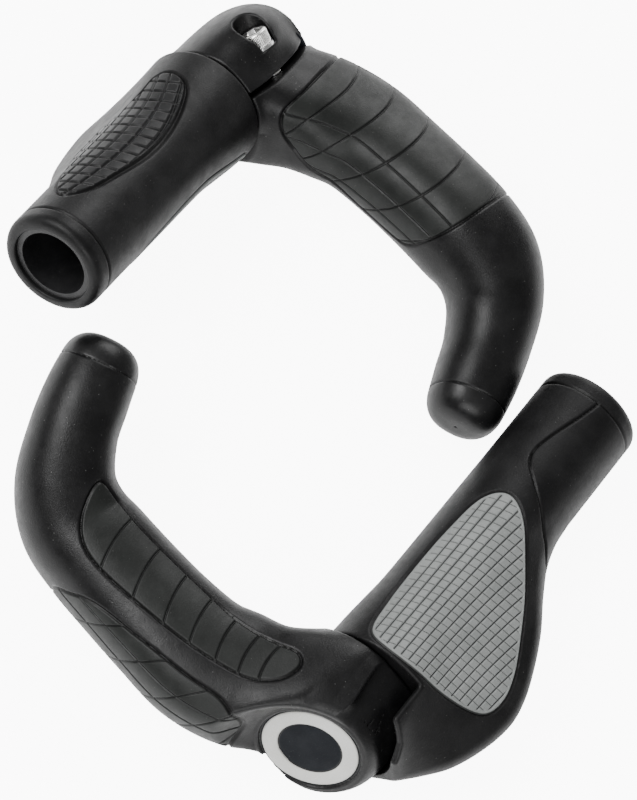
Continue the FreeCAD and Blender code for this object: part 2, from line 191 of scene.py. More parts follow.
def wing_section(p):
    """Distance from the hull of the tube's and the wing's circles at each point's x."""
    x, y, z = p.T
    tube = smooth_curve(x, TUBE_RADIUS_STOPS, GRIP_STATIONS)
    wing = smooth_curve(x, WING_EDGE_STOPS, GRIP_STATIONS)
    shift = smooth_curve(x, TUBE_SHIFT_STOPS, GRIP_STATIONS)
    wing_y = smooth_curve(x, WING_REAR_STOPS, GRIP_STATIONS) + wing
    wing_z = smooth_curve(x, WING_HEIGHT_STOPS, GRIP_STATIONS)
    ay, az = wing_y - shift, wing_z
    span = np.maximum(np.hypot(ay, az), 1e-3)
    ay, az = ay / span, az / span
    along = (y - shift) * ay + z * az
    aside = np.abs((y - shift) * az - z * ay)
    sine = np.clip((tube - wing) / span, -0.999, 0.999)
    cosine = np.sqrt(1 - sine ** 2)
    k = -sine * aside + cosine * along
    near_tube = np.hypot(aside, along) - tube
    near_wing = np.hypot(aside, along - span) - wing
    flank = cosine * aside + sine * along - tube
    return np.where(k < 0, near_tube, np.where(k > cosine * span, near_wing, flank))


def grip_field(length):
    def field(p):
        x, y, z = p.T
        radius = np.hypot(y, z)
        body = smooth_max(wing_section(p), x - length, 3.4)
        before, after = radial(OVERHANG_DEG[0] + 90), radial(OVERHANG_DEG[1] + 90)
        outside = np.maximum(-(p @ before), p @ after)
        degrees = np.degrees(np.arctan2(z, y)) % 360
        edge = np.interp(degrees, *np.array(OVERHANG_EDGE).T)
        front = smooth_min(SEAM_X - x, smooth_max(outside, edge - x, 1.2), 1.0)
        body = smooth_max(body, front, 1.3)
        room = np.maximum(radius - RING_CLEARANCE_RADIUS, x - SEAM_X)
        body = smooth_max(body, -room, 0.5)
        return smooth_max(body, SLEEVE_RADIUS - radius, 0.8)
    return field


# ---- bar end -----------------------------------------------------------------------------

def through_stations(values, per_station=24):
    """Curve through the arm stations' values, evenly many samples between stations."""
    values = np.array(values, float)
    padded = np.vstack([2 * values[0] - values[1], values, 2 * values[-1] - values[-2]])
    result = []
    for i in range(len(values) - 1):
        a, b, c, d = padded[i:i + 4]
        t = np.linspace(0, 1, per_station, endpoint=False)[:, None]
        result.append(0.5 * (2 * b + (c - a) * t + (2 * a - 5 * b + 4 * c - d) * t ** 2
                             + (3 * b - a - 3 * c + d) * t ** 3))
    return np.vstack(result + [values[-1:]])


class Arm:
    """The arm's path, and the position of any point round it."""

    def __init__(self):
        self.centre = through_stations([s[0] for s in ARM_STATIONS])
        self.sizes = through_stations([s[1:] for s in ARM_STATIONS])
        tangent = np.gradient(self.centre, axis=0)
        self.tangent = tangent / np.linalg.norm(tangent, axis=1)[:, None]
        side = np.cross(self.tangent, [0, 0, 1])
        self.side = side / np.linalg.norm(side, axis=1)[:, None]
        self.up = np.cross(self.side, self.tangent)
        self.index = np.arange(len(self.centre), dtype=float)
        self.low, self.step = np.array([-36.0, -34.0, -42.0]), 2.5
        self.shape = (44, 70, 34)
        axes = [lo + self.step * np.arange(n) for lo, n in zip(self.low, self.shape)]
        nodes = np.stack(np.meshgrid(*axes, indexing="ij"), -1).reshape(-1, 3)
        self.nearest = np.concatenate([self.foot(part) for part in np.array_split(nodes, 40)])
        self.nearest = self.nearest.reshape(self.shape)

    def foot(self, p):
        """Path index nearest to each point, between samples as well."""
        gaps = ((p[:, None, :] - self.centre[None]) ** 2).sum(-1)
        i = np.clip(gaps.argmin(1), 1, len(self.centre) - 2)
        rows = np.arange(len(p))
        a, b, c = gaps[rows, i - 1], gaps[rows, i], gaps[rows, i + 1]
        return i + np.clip((a - c) / (2 * (a - 2 * b + c) + 1e-9), -1, 1)

    def index_at(self, p):
        q = (p - self.low) / self.step
        top = np.array(self.shape) - 2
        i = np.clip(q.astype(int), 0, top)
        f = np.clip(q - i, 0, 1)
        result = 0
        for dx in (0, 1):
            for dy in (0, 1):
                for dz in (0, 1):
                    weight = (np.where(dx, f[:, 0], 1 - f[:, 0])
                              * np.where(dy, f[:, 1], 1 - f[:, 1])
                              * np.where(dz, f[:, 2], 1 - f[:, 2]))
                    result = result + weight * self.nearest[
                        i[:, 0] + dx, i[:, 1] + dy, i[:, 2] + dz]
        return result

    def read(self, table, t):
        return np.stack([np.interp(t, self.index, column) for column in table.T], -1)

    def around(self, p):
        """(path index, distance across, distance above) of each point."""
        t = self.index_at(p)
        offset = p - self.read(self.centre, t)
        across = (offset * self.read(self.side, t)).sum(-1)
        rise = (offset * self.read(self.up, t)).sum(-1)
        return t, across, rise

    def distance(self, p):
        t, across, rise = self.around(p)
        width, above, below, power = self.read(self.sizes, t).T
        height = np.where(rise > 0, above, below)
        reach = ((np.abs(across) / width) ** power
                 + (np.abs(rise) / height) ** power) ** (1 / power)
        body = np.hypot(across, rise) * (1 - 1 / np.maximum(reach, 0.05))
        start = -((p - self.centre[0]) @ self.tangent[0])
        end = (p - self.centre[-1]) @ self.tangent[-1]
        return smooth_max(np.maximum(body, start), end, TIP_ROUNDING)


ARM = Arm()
SCREW_BASE = radial(SLIT_DEG) * SCREW_OFFSET + np.array([SCREW_X, 0, 0])
SCREW_AXIS = radial(SLIT_DEG + 90)


def about(p, centre, axis):
    """(distance along an axis, distance from it)."""
    offset = p - centre
    along = offset @ axis
    return along, np.sqrt(np.maximum((offset ** 2).sum(-1) - along ** 2, 0))


def nose_distance(p):
    """Rounded end of the clamp round the disc."""
    along, out = about(p, DISC_CENTRE, DISC_NORMAL)
    cone = ((out - WELL_RADIUS - 4.8) * 60 + (along + 2.2) * 30) / 67.08
    return smooth_max(along - RIM_HEIGHT, cone, 4.2)


def bar_end_field(p):
    x, y, z = p.T
    radius = np.hypot(y, z)
    ring = smooth_max(radius - CLAMP_RADIUS, x - CLAMP_FACE_X, 1.6)
    q = (p - np.array(JAW_CENTRE)) / np.array(JAW_SEMI_AXES)
    reach = np.sqrt((q ** 2).sum(-1)) + 1e-6
    slope = np.sqrt(((q / np.array(JAW_SEMI_AXES)) ** 2).sum(-1)) + 1e-6
    jaw = smooth_max(reach * (reach - 1) / slope, x - CLAMP_FACE_X, 1.6)
    clamp = smooth_min(ring, jaw, 5.0)
    collar_room = np.maximum(CLAMP_FACE_X - x, radius - COLLAR_ROOM_RADIUS)
    arm = smooth_max(ARM.distance(p), -collar_room, 1.5)
    along, out = about(p, DISC_CENTRE, DISC_NORMAL)
    clamp = smooth_max(clamp, nose_distance(p), 1.0)
    arm = smooth_max(arm, along - RIM_HEIGHT - 0.9 * np.maximum(y - 12, 0), 7.0)
    sector = np.degrees(np.arctan2(z, y))
    shoulder = np.clip((z + 4) / 14, 0, 1) * np.clip((74 - sector) / 50, 0, 1)
    least, most = SHOULDER_BLEND
    body = smooth_min(clamp, arm, least + (most - least) * shoulder)
    body = smooth_max(body, -collar_room, 0.8)
    climb = DISH_SLOPE * np.maximum(out - WELL_RADIUS - DISH_START, 0)
    dish = along - 0.7 * RIM_HEIGHT - climb
    body = smooth_max(body, dish, 1.5)
    body = smooth_max(body, -np.maximum(out - WELL_RADIUS, -along), 0.6)
    body = np.maximum(body, -np.maximum(radius - CAVITY_RADIUS, CAVITY_START - x))
    reach, out = about(p, SCREW_BASE, SCREW_AXIS)
    body = smooth_max(body, -np.maximum(out - COUNTERBORE_RADIUS, reach - SEAT), 0.9)
    body = np.maximum(body, -np.maximum(out - CLEARANCE_RADIUS, reach - SCREW_END - 2))
    side = p @ radial(SLIT_DEG + 90)
    deep = p @ radial(SLIT_DEG)
    flare = SLIT_FLARE * np.clip((along + 3) / 3, 0, 1)
    reach = np.maximum(SLIT_START - deep, y - SLIT_REACH_Y)
    gap = np.maximum(np.abs(side) - SLIT_WIDTH / 2 - flare, reach)
    return smooth_max(body, -gap, 0.7)


# ---- meshes ------------------------------------------------------------------------------

def carve(field, low, high, step):
    """Quads over the zero surface of a distance field, one vertex in each crossed cell."""
    counts = [int(math.ceil((b - a) / step)) + 1 for a, b in zip(low, high)]
    axes = [a + step * np.arange(n) for a, n in zip(low, counts)]
    values = np.empty(counts, np.float32)
    for i, x in enumerate(axes[0]):
        y, z = np.meshgrid(axes[1], axes[2], indexing="ij")
        slab = np.stack([np.full(y.size, x), y.ravel(), z.ravel()], -1)
        values[i] = field(slab).reshape(y.shape)
    inside = values < 0
    mixed = np.zeros([n - 1 for n in counts], bool)
    first = inside[:-1, :-1, :-1]
    corners = [(a, b, c) for a in (0, 1) for b in (0, 1) for c in (0, 1)]
    for a, b, c in corners[1:]:
        mixed |= first != inside[a:counts[0] - 1 + a, b:counts[1] - 1 + b, c:counts[2] - 1 + c]
    cells = np.argwhere(mixed)
    order = np.full(mixed.shape, -1, np.int64)
    order[tuple(cells.T)] = np.arange(len(cells))
    total = np.zeros((len(cells), 3))
    hits = np.zeros(len(cells))
    for start in corners:
        for axis in range(3):
            if start[axis]:
                continue
            stop = list(start)
            stop[axis] = 1
            va = values[tuple((cells + start).T)]
            vb = values[tuple((cells + stop).T)]
            crossed = (va < 0) != (vb < 0)
            share = np.where(crossed, va / np.where(crossed, va - vb, 1), 0)
            point = np.array(start, float) + np.outer(share, np.eye(3)[axis])
            total += point * crossed[:, None]
            hits += crossed
    verts = np.array(low) + step * (cells + total / hits[:, None])
    quads = []
    for axis in range(3):
        u, v = [(1, 2), (2, 0), (0, 1)][axis]
        ahead = np.roll(inside, -1, axis)
        crossing = np.argwhere(inside != ahead)
        keep = (crossing[:, axis] < counts[axis] - 1) & (crossing[:, u] > 0) & (crossing[:, v] > 0)
        keep &= (crossing[:, u] < counts[u] - 1) & (crossing[:, v] < counts[v] - 1)
        crossing = crossing[keep]
        loop = []
        for du, dv in ((1, 1), (0, 1), (0, 0), (1, 0)):
            cell = crossing.copy()
            cell[:, u] -= du
            cell[:, v] -= dv
            loop.append(order[tuple(cell.T)])
        loop = np.stack(loop, -1)
        out = inside[tuple(crossing.T)]
        quads.append(np.where(out[:, None], loop, loop[:, ::-1]))
    return verts, np.vstack(quads)


def subdivide(verts, quads):
    """Each quad into four."""
    pairs = np.stack([quads, np.roll(quads, -1, 1)], -1).reshape(-1, 2)
    pairs.sort(1)
    key = pairs[:, 0] * (len(verts) + 1) + pairs[:, 1]
    _, first, edge = np.unique(key, return_index=True, return_inverse=True)
    edge = edge.reshape(-1, 4) + len(verts)
    middles = verts[pairs[first]].mean(1)
    centres = verts[quads].mean(1)
    centre = np.arange(len(quads)) + len(verts) + len(middles)
    result = [np.stack([quads[:, i], edge[:, i], centre, edge[:, i - 1]], -1) for i in range(4)]
    return np.vstack([verts, middles, centres]), np.vstack(result)


def settle(verts, field, steps=2, most=0.35):
    """Moves vertices onto the field's surface, and returns them with the surface's normals."""
    delta = 0.12
    normal = None
    for _ in range(steps):
        value = field(verts)
        slope = np.stack([(field(verts + delta * e) - field(verts - delta * e)) / (2 * delta)
                          for e in np.eye(3)], -1)
        length = np.linalg.norm(slope, axis=1) + 1e-6
        normal = slope / length[:, None]
        verts = verts - normal * np.clip(value / np.maximum(length, 0.4), -most, most)[:, None]
    return verts, normal


def compact(verts, quads):
    used, index = np.unique(quads, return_inverse=True)
    return verts[used], index.reshape(-1, 4)


# ---- outlines and grooves ------------------------------------------------------------------

def rounded(outline, share=8):
    """Closed smooth curve through an outline's points."""
    points = np.array(outline, float)
    t = np.linspace(0, 1, share, endpoint=False)[:, None]
    result = []
    for i in range(len(points)):
        a, b, c, d = points[i - 1], points[i], points[(i + 1) % len(points)], points[
            (i + 2) % len(points)]
        result.append(0.5 * (2 * b + (c - a) * t + (2 * a - 5 * b + 4 * c - d) * t ** 2
                             + (3 * b - a - 3 * c + d) * t ** 3))
    return np.vstack(result)


def line_distance(points, line, closed):
    """Distance from each point to a line of straight pieces, and whether it is inside."""
    ends = np.roll(line, -1, 0) if closed else line[1:]
    starts = line if closed else line[:-1]
    best = np.full(len(points), BIG)
    inside = np.zeros(len(points), bool)
    for (ax, ay), (bx, by) in zip(starts, ends):
        dx, dy = bx - ax, by - ay
        px, py = points[:, 0] - ax, points[:, 1] - ay
        t = np.clip((px * dx + py * dy) / (dx * dx + dy * dy + 1e-12), 0, 1)
        best = np.minimum(best, np.hypot(px - t * dx, py - t * dy))
        if closed and ay != by:
            crosses = (ay > points[:, 1]) != (by > points[:, 1])
            inside ^= crosses & (px < dx * py / dy)
    return best, inside


def outline_distance(points, outline, room):
    """Signed distance to a closed curve, negative inside, worked out only near it."""
    curve = rounded(outline)
    low, high = curve.min(0) - room, curve.max(0) + room
    near = ((points > low) & (points < high)).all(1)
    result = np.full(len(points), BIG)
    gap, inside = line_distance(points[near], curve, True)
    result[near] = np.where(inside, -gap, gap)
    return result


def groove(gap, half_width):
    """1 in the middle of a groove, falling smoothly to 0 at its half width."""
    t = np.clip(np.abs(gap) / half_width, 0, 1)
    return 1 - t * t * (3 - 2 * t)


def every(value, pitch):
    """Distance to the nearest multiple of the pitch."""
    return np.abs((value + pitch / 2) % pitch - pitch / 2)


# ---- placing pieces ------------------------------------------------------------------------

def row_matrix(side):
    """A grip's own frame, in millimetres, to the row frame, in metres."""
    place, (yaw, pitch, roll) = PLACE[side]
    turn = (Matrix.Rotation(math.radians(yaw), 4, "Z")
            @ Matrix.Rotation(math.radians(pitch), 4, "Y")
            @ Matrix.Rotation(math.radians(roll), 4, "X"))
    mirror = Matrix.Scale(-1, 4, (1, 0, 0)) if side == "right" else Matrix.Identity(4)
    return Matrix.Scale(0.001, 4) @ Matrix.Translation(Vector(place)) @ turn @ mirror


def add_piece(name, side, body, material, verts, faces, stands_for, wing=False,
              groove_shade=None):
    """Mesh object from a piece's points in the grip's frame, riding on its CAD body."""
    matrix = row_matrix(side)
    if wing:
        matrix = matrix @ Matrix.Rotation(math.radians(WING_TURN[side]), 4, "X")
    m = np.array(matrix)
    points = np.asarray(verts) @ m[:3, :3].T + m[:3, 3]
    if side == "right":
        faces = faces[:, ::-1]
    mesh = bpy.data.meshes.new(name)
    mesh.vertices.add(len(points))
    mesh.vertices.foreach_set("co", points.astype(np.float32).ravel())
    mesh.loops.add(faces.size)
    mesh.loops.foreach_set("vertex_index", np.ascontiguousarray(faces, np.int32).ravel())
    mesh.polygons.add(len(faces))
    mesh.polygons.foreach_set("loop_start", np.arange(0, faces.size, 4, dtype=np.int32))
    mesh.update(calc_edges=True)
    mesh.polygons.foreach_set("use_smooth", [True] * len(mesh.polygons))
    mesh.validate()
    # Groove depth goes to the materials, which paint shade into the grooves by it.
    if groove_shade is not None:
        depth = mesh.attributes.new("groove_shade", "FLOAT", "POINT")
        depth.data.foreach_set("value", np.clip(groove_shade, 0, 1).astype(np.float32))
    piece = bpy.data.objects.new(name, mesh)
    bpy.context.scene.collection.objects.link(piece)
    piece.data.materials.append(material)
    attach(piece, body)
    if stands_for:
        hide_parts(*stands_for)
    return piece


# ---- materials -----------------------------------------------------------------------------

def node(tree, kind, **inputs):
    made = tree.nodes.new(kind)
    for key, value in inputs.items():
        setattr(made, key, value)
    return made


def moulded(name, colour, roughness, grain=0.35, grain_size=0.00045, dust=0.0, wear=0.0,
            specular=0.5, metallic=0.0, tint=None):
    """Moulded rubber or plastic, or plated metal: mottled colour, grain, scuffs, dust and painted
    shade in the grooves.
    """
    material = bpy.data.materials.new(name)
    material.use_nodes = True
    tree = material.node_tree
    link = tree.links.new
    shader = tree.nodes["Principled BSDF"]
    shader.inputs["Metallic"].default_value = metallic
    shader.inputs["Specular IOR Level"].default_value = specular
    place = node(tree, "ShaderNodeTexCoord").outputs["Object"]

    def noise(size, detail, sharpness=0.5):
        made = node(tree, "ShaderNodeTexNoise")
        made.inputs["Scale"].default_value = 1 / size
        made.inputs["Detail"].default_value = detail
        made.inputs["Roughness"].default_value = sharpness
        link(place, made.inputs["Vector"])
        return made.outputs["Fac"]

    def ramp(source, low, high, first=0.0, last=1.0):
        made = node(tree, "ShaderNodeMapRange")
        made.interpolation_type = "SMOOTHSTEP"
        for key, value in zip(("From Min", "From Max", "To Min", "To Max"),
                              (low, high, first, last)):
            made.inputs[key].default_value = value
        link(source, made.inputs["Value"])
        return made.outputs["Result"]

    def mix(share, a, b):
        made = node(tree, "ShaderNodeMix", data_type="RGBA")
        link(share, made.inputs["Factor"])
        for socket, value in ((made.inputs[6], a), (made.inputs[7], b)):
            if isinstance(value, tuple):
                socket.default_value = (*value, 1)
            else:
                link(value, socket)
        return made.outputs[2]

    other = tint or tuple(min(1, c * 1.35 + 0.004) for c in colour)
    base = mix(ramp(noise(0.011, 4), 0.35, 0.7), colour, other)
    fine = noise(grain_size, 2, 0.6)
    base = mix(ramp(fine, 0.5, 0.78, 0, 0.35), base, tuple(min(1, c * 1.8 + 0.012) for c in colour))
    scuffs = noise(0.004, 6, 0.75)
    base = mix(ramp(scuffs, 0.62, 0.8, 0, wear), base, tuple(min(1, c + 0.09) for c in colour))
    specks = node(tree, "ShaderNodeTexVoronoi")
    specks.inputs["Scale"].default_value = 520
    link(place, specks.inputs["Vector"])
    base = mix(ramp(specks.outputs["Distance"], 0.01, 0.06, dust, 0), base, (0.62, 0.62, 0.6))
    # Painted shade: the deeper the groove, the darker its colour, down to 6% of it, in place of the
    # shade that falls in the grooves.
    painted_groove_shade = node(tree, "ShaderNodeAttribute", attribute_name="groove_shade").outputs["Fac"]
    base = mix(ramp(painted_groove_shade, 0.1, 0.8, 0, 0.93), base, tuple(c * 0.06 for c in colour))
    link(base, shader.inputs["Base Color"])
    link(ramp(scuffs, 0.3, 0.75, roughness - 0.05, min(1, roughness + 0.09)),
         shader.inputs["Roughness"])
    bump = node(tree, "ShaderNodeBump")
    bump.inputs["Strength"].default_value = grain
    bump.inputs["Distance"].default_value = 0.00012
    link(fine, bump.inputs["Height"])
    soft = node(tree, "ShaderNodeBump")
    soft.inputs["Strength"].default_value = 0.25
    soft.inputs["Distance"].default_value = 0.0003
    link(noise(0.006, 3), soft.inputs["Height"])
    link(soft.outputs["Normal"], bump.inputs["Normal"])
    link(bump.outputs["Normal"], shader.inputs["Normal"])
    return material


LOOKS = {
    "body_rubber": moulded("body_rubber", (0.0036, 0.0036, 0.0038), 0.43, 0.6, dust=0.4, wear=0.08,
                           specular=0.24),
    "grey_pad": moulded("grey_pad", (0.215, 0.225, 0.22), 0.5, 0.3, dust=0.1, wear=0.2,
                        specular=0.35, tint=(0.25, 0.26, 0.255)),
    "black_pad": moulded("black_pad", (0.0045, 0.0046, 0.0048), 0.42, 0.4, dust=0.25, wear=0.1,
                         specular=0.28),
    "end_rubber": moulded("end_rubber", (0.0032, 0.0032, 0.0034), 0.43, 0.5, dust=0.3, wear=0.08,
                          specular=0.22),
    "composite": moulded("composite", (0.0032, 0.0032, 0.0034), 0.36, 0.6, dust=0.5, wear=0.06,
                         specular=0.26),
    "inlay_rubber": moulded("inlay_rubber", (0.0062, 0.0072, 0.0064), 0.43, 0.4, dust=0.3,
                            wear=0.1, specular=0.3),
    "tip_plastic": moulded("tip_plastic", (0.0034, 0.0034, 0.0036), 0.34, 0.35, dust=0.4, wear=0.06,
                           specular=0.3),
    "core_plastic": moulded("core_plastic", (0.004, 0.004, 0.0045), 0.5, 0.3, dust=0.2, wear=0.3),
    "shim_metal": moulded("shim_metal", (0.42, 0.38, 0.24), 0.35, 0.2, metallic=1.0, wear=0.2),
    "insert_brass": moulded("insert_brass", (0.72, 0.5, 0.22), 0.3, 0.2, metallic=1.0, wear=0.2),
    "screw_steel": moulded("screw_steel", (0.93, 0.92, 0.88), 0.26, 0.2, metallic=1.0, wear=0.1),
    "washer_steel": moulded("washer_steel", (0.6, 0.6, 0.6), 0.3, 0.2, metallic=1.0, wear=0.1),
    "cap_plastic": moulded("cap_plastic", (0.0055, 0.0068, 0.0095), 0.42, 0.15, dust=0.2,
                           specular=0.07),
    "ring_plastic": moulded("ring_plastic", (0.66, 0.66, 0.62), 0.4, 0.15, dust=0.0, wear=0.15,
                            tint=(0.72, 0.72, 0.69)),
}


# ---- the grips -------------------------------------------------------------------------------

def pad_tiles(points, kind):
    """Depth of the grooves across a pad at (x, y) points."""
    x, y = points.T
    if kind == "palm":
        lengthwise = y + 0.0022 * (x - 30) ** 2 * np.clip((6 - y) / 40, 0, 1) + 0.02 * (x - 60)
        crosswise = x + 0.24 * (y + 12) + 0.0015 * (y + 12) ** 2
        return np.maximum(0.5 * groove(every(lengthwise, 2.75), 0.48),
                          0.4 * groove(every(crosswise, 2.85), 0.4))
    lengthwise = y - 6.0 + 0.004 * (x - 76) ** 2
    crosswise = x + 0.03 * (y - 4) ** 2
    return np.maximum(0.7 * groove(every(lengthwise, 4.2), 0.72),
                      0.7 * groove(every(crosswise, 4.6), 0.7))


def snap(verts, quads, inside, distance):
    """Moves the vertices between two pieces onto the outline between them, in x and y."""
    split = np.zeros((len(verts), 2), bool)
    split[quads[inside].ravel(), 0] = True
    split[quads[~inside].ravel(), 1] = True
    edge = np.flatnonzero(split.all(1))
    p = verts[edge, :2]
    gap = distance(p)
    slope = np.stack([(distance(p + d) - distance(p - d)) / 0.2
                      for d in (np.array([0.1, 0]), np.array([0, 0.1]))], -1)
    slope /= np.linalg.norm(slope, axis=1)[:, None] + 1e-6
    verts[edge, :2] -= slope * np.clip(gap, -0.4, 0.4)[:, None]
    return verts


def build_grip(side):
    length = LENGTH[side]
    field = grip_field(length)
    verts, quads = carve(field, (6.5, -44.0, -24.0), (length + 1.4, 23.5, 24.0), COARSE_STEP)
    verts, quads = subdivide(verts, quads)
    verts, _ = settle(verts, field)
    centres = verts[quads].mean(1)
    outer = np.hypot(centres[:, 1], centres[:, 2]) > SLEEVE_RADIUS + 1.5
    top, under = centres[:, 2] > 0, centres[:, 2] < 0
    flat = centres[:, :2]
    palm = outer & top & (outline_distance(flat, PALM_PAD, 3) < 0)
    below = outer & under & (outline_distance(flat, UNDERSIDE_PAD, 3) < 0)
    tongue = outer & top & (outline_distance(flat, TONGUE, 3) < 0)
    band = centres[:, 0] > length - END_BAND
    panel = band | (tongue & ~palm)
    verts = snap(verts, quads, palm, lambda p: outline_distance(p, PALM_PAD, 3))
    verts = snap(verts, quads, below, lambda p: outline_distance(p, UNDERSIDE_PAD, 3))
    pieces = (
        ("palm_pad", palm, "grey_pad", 2), ("underside_pad", below, "black_pad", 1),
        ("end_panel", panel & ~below, "end_rubber", 0),
        ("grip_rubber", ~(palm | below | panel), "body_rubber", 0),
    )
    for name, chosen, slot, finer in pieces:
        v, q = compact(verts, quads[chosen])
        for _ in range(finer):
            v, q = subdivide(v, q)
        v, normal = settle(v, field, 1)
        depth = grip_relief(v, length)
        # The groove depth also goes on to the material as painted shade in the grooves.
        add_piece(f"{side}_{name}_look", side, "grips", LOOKS[slot],
                  v - normal * depth[:, None], q, [f"{side}_{name}"], wing=True, groove_shade=depth / 0.4)


def grip_relief(v, length):
    """How far the rubber's surface lies below its plain shape at each point."""
    flat = v[:, :2]
    radius = np.hypot(v[:, 1], v[:, 2])
    outer = radius > SLEEVE_RADIUS + 1.0
    top = outer & (v[:, 2] > -1)
    under = outer & (v[:, 2] < 1)
    depth = np.zeros(len(v))
    gap = outline_distance(flat, PALM_PAD, 4)
    pad = top & (gap < 4)
    depth[pad] += 0.55 * groove(gap[pad], 0.75)
    tiled = top & (gap < -1.0)
    depth[top & (gap < -0.7)] -= 0.18
    depth[tiled] += pad_tiles(flat[tiled], "palm") * np.clip((-gap[tiled] - 1.0) / 0.4, 0, 1)
    gap = outline_distance(flat, UNDERSIDE_PAD, 4)
    pad = under & (gap < 4)
    depth[pad] += 0.75 * groove(gap[pad], 0.8)
    tiled = under & (gap < -0.5)
    depth[tiled] += pad_tiles(flat[tiled], "under") * np.clip((-gap[tiled] - 0.5) / 0.4, 0, 1)
    depth[under & (gap < -0.6)] -= 0.25
    gap = outline_distance(flat, TONGUE, 4)
    line = top & (gap < 4) & (v[:, 0] < length - END_BAND)
    depth[line] += 0.5 * groove(gap[line], 0.7) * np.clip(v[line, 2] / 3, 0, 1)
    depth[outer] += 0.45 * groove(v[outer, 0] - (length - END_BAND), 0.7)
    return depth


for side in ("left", "right"):
    build_grip(side)


# ---- the bar ends ----------------------------------------------------------------------------

def arm_chart(v):
    """(degrees from the underside times a scale, y) of points on the arm."""
    _, across, rise = ARM.around(v)
    degrees = (np.degrees(np.arctan2(rise, across)) + 90 + 180) % 360 - 180
    return np.stack([degrees * MM_PER_DEGREE, v[:, 1]], -1), rise


def wrap_distance(chart):
    outline = [(d * MM_PER_DEGREE, y) for d, y in BOTTOM_INLAY]
    return outline_distance(chart, outline, 4)


def rib_curve(first, last):
    (ax, ay), (bx, by) = first, last
    t = np.linspace(0, 1, 9)[:, None]
    line = np.array([[ax, ay]]) * (1 - t) + np.array([[bx, by]]) * t
    line[:, 1] += RIB_BOW * 4 * (t * (1 - t))[:, 0]
    return line


def bar_relief(v):
    depth = np.zeros(len(v))
    chart, rise = arm_chart(v)
    clear = v[:, 1] > 17
    flat = v[:, :2]
    gap = outline_distance(flat, TOP_INLAY, 4)
    top = clear & (rise > 0)
    edge = top & (gap < 4)
    depth[edge] += 0.6 * groove(gap[edge], 0.8)
    inner = top & (gap < 0)
    for first, last in TOP_RIBS:
        reach, _ = line_distance(flat[inner], rib_curve(first, last), False)
        depth[inner] += 0.38 * groove(reach, 0.55) * np.clip(-gap[inner] / 0.8, 0, 1)
    gap = wrap_distance(chart)
    edge = clear & (gap < 4)
    depth[edge] += 0.6 * groove(gap[edge], 0.8)
    inner = clear & (gap < 0)
    degrees, y = chart[inner, 0] / MM_PER_DEGREE, chart[inner, 1]
    fade = np.clip(-gap[inner] / 0.8, 0, 1)
    lines = np.zeros(len(degrees))
    for angle in INLAY_LENGTHWISE:
        lines = np.maximum(lines, 0.36 * groove((degrees - angle) * MM_PER_DEGREE, 0.5))
    sweep = y + CROSS_SWEEP * (degrees / 100) ** 2
    for start in INLAY_CROSSWISE:
        lines = np.maximum(lines, 0.42 * groove(sweep - start, 0.6))
    depth[inner] += lines * fade
    joint, ahead = tip_joint()
    depth += 0.35 * groove((v - joint) @ ahead, 0.5) * (v[:, 0] > 30)
    return depth


def tip_joint():
    centre = np.array(ARM_STATIONS[TIP_JOINT][0])
    ahead = np.array(ARM_STATIONS[TIP_JOINT + 1][0]) - centre
    return centre + ahead * TIP_SHARE, ahead / np.linalg.norm(ahead)


def bar_end_meshes():
    """Points and faces of each piece of the bar end, the same for both sides."""
    verts, quads = carve(bar_end_field, (-26.0, -25.0, -36.0), (63.0, 144.0, 35.0), COARSE_STEP)
    verts, quads = subdivide(verts, quads)
    verts, _ = settle(verts, bar_end_field)
    centres = verts[quads].mean(1)
    chart, rise = arm_chart(centres)
    outer = (centres[:, 1] > 17) & (np.hypot(centres[:, 1], centres[:, 2]) > 16)
    joint, ahead = tip_joint()
    tip = ((centres - joint) @ ahead > 0) & (centres[:, 0] > 30)
    top = outer & (rise > 0) & (outline_distance(centres[:, :2], TOP_INLAY, 3) < 0)
    wrap = outer & (wrap_distance(chart) < 0)
    made = []
    for name, chosen, slot, finer in (
            ("tip_cap", tip, "tip_plastic", 0), ("top_inlay", top & ~tip, "inlay_rubber", 1),
            ("bottom_inlay", wrap & ~tip, "inlay_rubber", 1),
            ("bar_end_body", ~(tip | top | wrap), "composite", 0)):
        v, q = compact(verts, quads[chosen])
        for _ in range(finer):
            v, q = subdivide(v, q)
        v, normal = settle(v, bar_end_field, 1)
        depth = bar_relief(v)
        # The scaled groove depth is kept for the painted shade in the grooves.
        made.append((name, slot, v - normal * depth[:, None], q, depth / 0.45))
    return made


BAR_END = bar_end_meshes()
for side in ("left", "right"):
    for name, slot, v, q, groove_shade in BAR_END:
        add_piece(f"{side}_{name}_look", side, f"{side}_bar_end", LOOKS[slot], v, q,
                  [f"{side}_{name}"], groove_shade=groove_shade)


# ---- discs and screws --------------------------------------------------------------------------

def basis(axis):
    axis = np.array(axis, float)
    first = np.cross(axis, [0.0, 0.0, 1.0])
    first /= np.linalg.norm(first)
    return first, np.cross(axis, first)


def lathe(profile, centre, axis, count=96, ripple=None):
    """Surface of revolution from (radius, height) points; ripple shapes it round the axis."""
    first, second = basis(axis)
    angles = np.linspace(0, 2 * math.pi, count, endpoint=False)
    rows = []
    for i, (radius, height) in enumerate(profile):
        reach = np.full(count, float(radius))
        if ripple is not None:
            reach = ripple(i, reach, angles)
        rows.append(centre + np.outer(reach * np.cos(angles), first)
                    + np.outer(reach * np.sin(angles), second) + axis * height)
    index = np.arange(len(profile) * count).reshape(len(profile), count)
    a, b = index[:-1], index[1:]
    quads = np.stack([a, np.roll(a, -1, 1), np.roll(b, -1, 1), b], -1).reshape(-1, 4)
    return np.vstack(rows), quads


